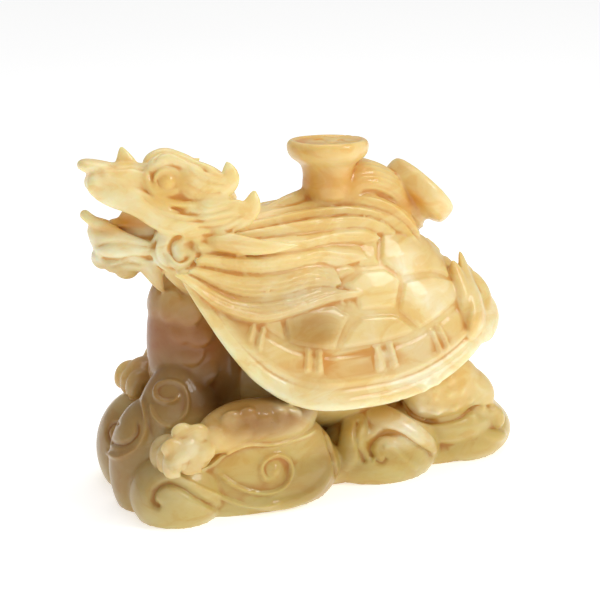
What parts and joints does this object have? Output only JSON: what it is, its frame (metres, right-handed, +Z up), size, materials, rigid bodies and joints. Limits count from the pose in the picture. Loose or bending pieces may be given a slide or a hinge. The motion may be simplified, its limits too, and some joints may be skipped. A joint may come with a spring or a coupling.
{
  "type": "dragon turtle figure",
  "caption": "Carved onyx figure of a dragon turtle on curling waves, with a flowing mane and round caps on its back; a desk ornament that stands on its flat underside.",
  "frame": {"origin": "on the ground, under the middle of the figure's bounding box", "axes": "+Z up; the head looks along -X; the figure's left side, which the picture shows, faces -Y"},
  "size_m": [0.174, 0.0824, 0.135],
  "materials": {
    "onyx": "polished honey-yellow banded onyx, slightly translucent"
  },
  "bodies": {
    "root": {"dragon_turtle": "onyx"}
  },
  "joints": []
}
